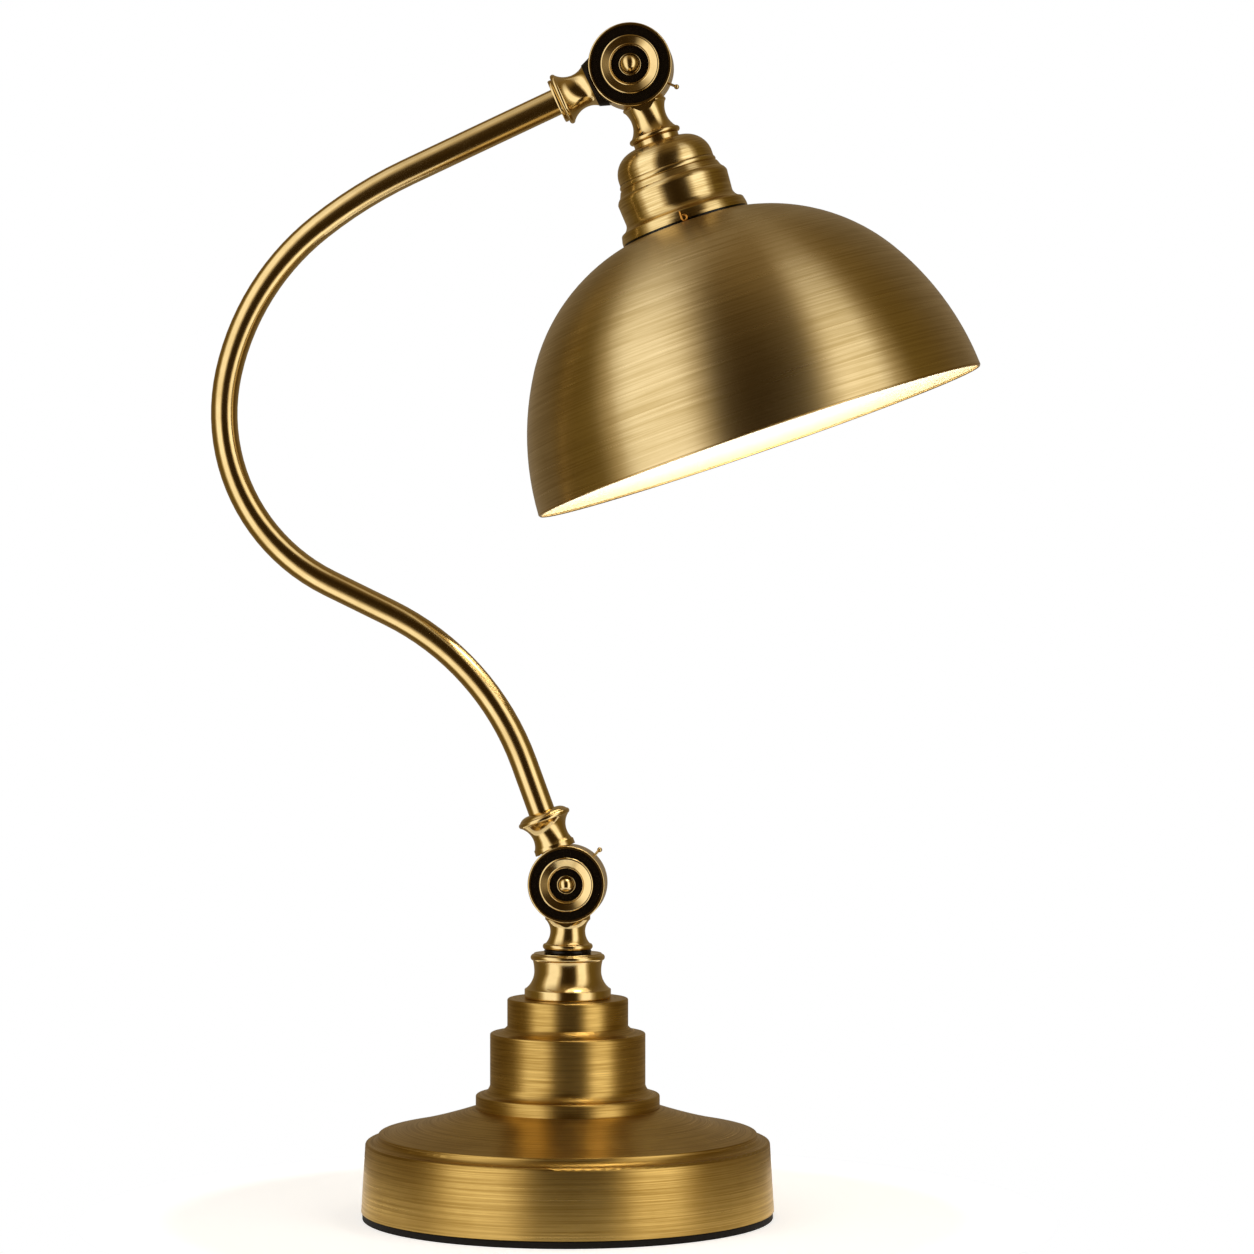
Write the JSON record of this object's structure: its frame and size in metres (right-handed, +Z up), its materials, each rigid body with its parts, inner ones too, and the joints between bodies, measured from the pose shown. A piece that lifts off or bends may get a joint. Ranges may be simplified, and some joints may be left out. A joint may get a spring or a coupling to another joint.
{
  "type": "desk lamp",
  "caption": "Brass desk lamp with a round weighted base, a bent tube arm on two friction knuckles and a deep dome shade over a bulb.",
  "frame": {"origin": "middle of the base pad's underside, on the column's axis", "axes": "+Z up along the column, +X towards the shade, -Y the front, where the pivot screws' ball heads are"},
  "size_m": [0.3172, 0.1912, 0.4901],
  "materials": {
    "brushed_brass": "satin antique brass, fine turned brushing; the shade is white enamel inside",
    "polished_brass": "polished antique brass",
    "bronze_wire": "bright bronze wire",
    "black_lacquer": "gloss black lacquer",
    "pad_rubber": "matt black foam rubber",
    "grommet_rubber": "matt black rubber",
    "cast_iron": "as cast",
    "zinc_steel": "zinc plated",
    "friction_plastic": "dark nylon",
    "porcelain": "glazed white",
    "black_moulding": "black phenolic moulding",
    "contact_brass": "bare brass",
    "nickel": "nickel plated",
    "opal_glass": "opal white glass, lit warm white"
  },
  "bodies": {
    "base": {"base_pad": "pad_rubber", "base_weight": "cast_iron", "base_cover": "brushed_brass", "cord_grommet": "grommet_rubber", "base_washer": "zinc_steel", "base_nut": "zinc_steel", "stem_nipple": "zinc_steel", "stepped_column": "brushed_brass", "column_neck": "polished_brass", "neck_washer": "black_lacquer", "lower_knuckle_stem": "polished_brass", "lower_stop_pin": "polished_brass"},
    "arm": {"lower_knuckle_arm_half": "polished_brass", "lower_face_washer": "black_lacquer", "lower_cup_ring": "polished_brass", "lower_pivot_screw": "polished_brass", "lower_spring_washer": "zinc_steel", "lower_pivot_nut": "polished_brass", "lower_friction_washer": "friction_plastic", "lower_saddle_ring": "black_lacquer", "lower_ferrule": "polished_brass", "arm_tube": "polished_brass", "upper_ferrule": "polished_brass", "upper_saddle_ring": "black_lacquer", "upper_knuckle_arm_half": "polished_brass", "upper_stop_pin": "polished_brass"},
    "head": {"holder_cap": "brushed_brass", "holder_shell": "brushed_brass", "holder_ring": "brushed_brass", "shade": "brushed_brass", "upper_knuckle_head_half": "polished_brass", "upper_cup_ring": "polished_brass", "upper_pivot_screw": "polished_brass", "upper_pivot_nut": "polished_brass", "neck_locknut": "polished_brass", "shade_clip": "bronze_wire", "upper_face_washer": "black_lacquer", "shade_gasket": "black_lacquer", "upper_spring_washer": "zinc_steel", "cap_nut": "zinc_steel", "upper_friction_washer": "friction_plastic", "socket_core": "porcelain", "socket_sleeve": "black_moulding", "shade_ring": "black_moulding", "screw_shell": "contact_brass", "centre_contact": "contact_brass", "bulb_tip": "contact_brass", "bulb_cap": "nickel", "bulb_globe": "opal_glass"}
  },
  "joints": [
    {"name": "arm_lean", "type": "hinge", "parent": "base", "child": "arm", "pos_m": [0, 0, 0.1372], "axis": [0, 1, 0], "range_deg": [-45, 32]},
    {"name": "head_tilt", "type": "hinge", "parent": "arm", "child": "head", "pos_m": [0.02615, 0, 0.47286], "axis": [0, 1, 0], "range_deg": [-17, 16]}
  ]
}
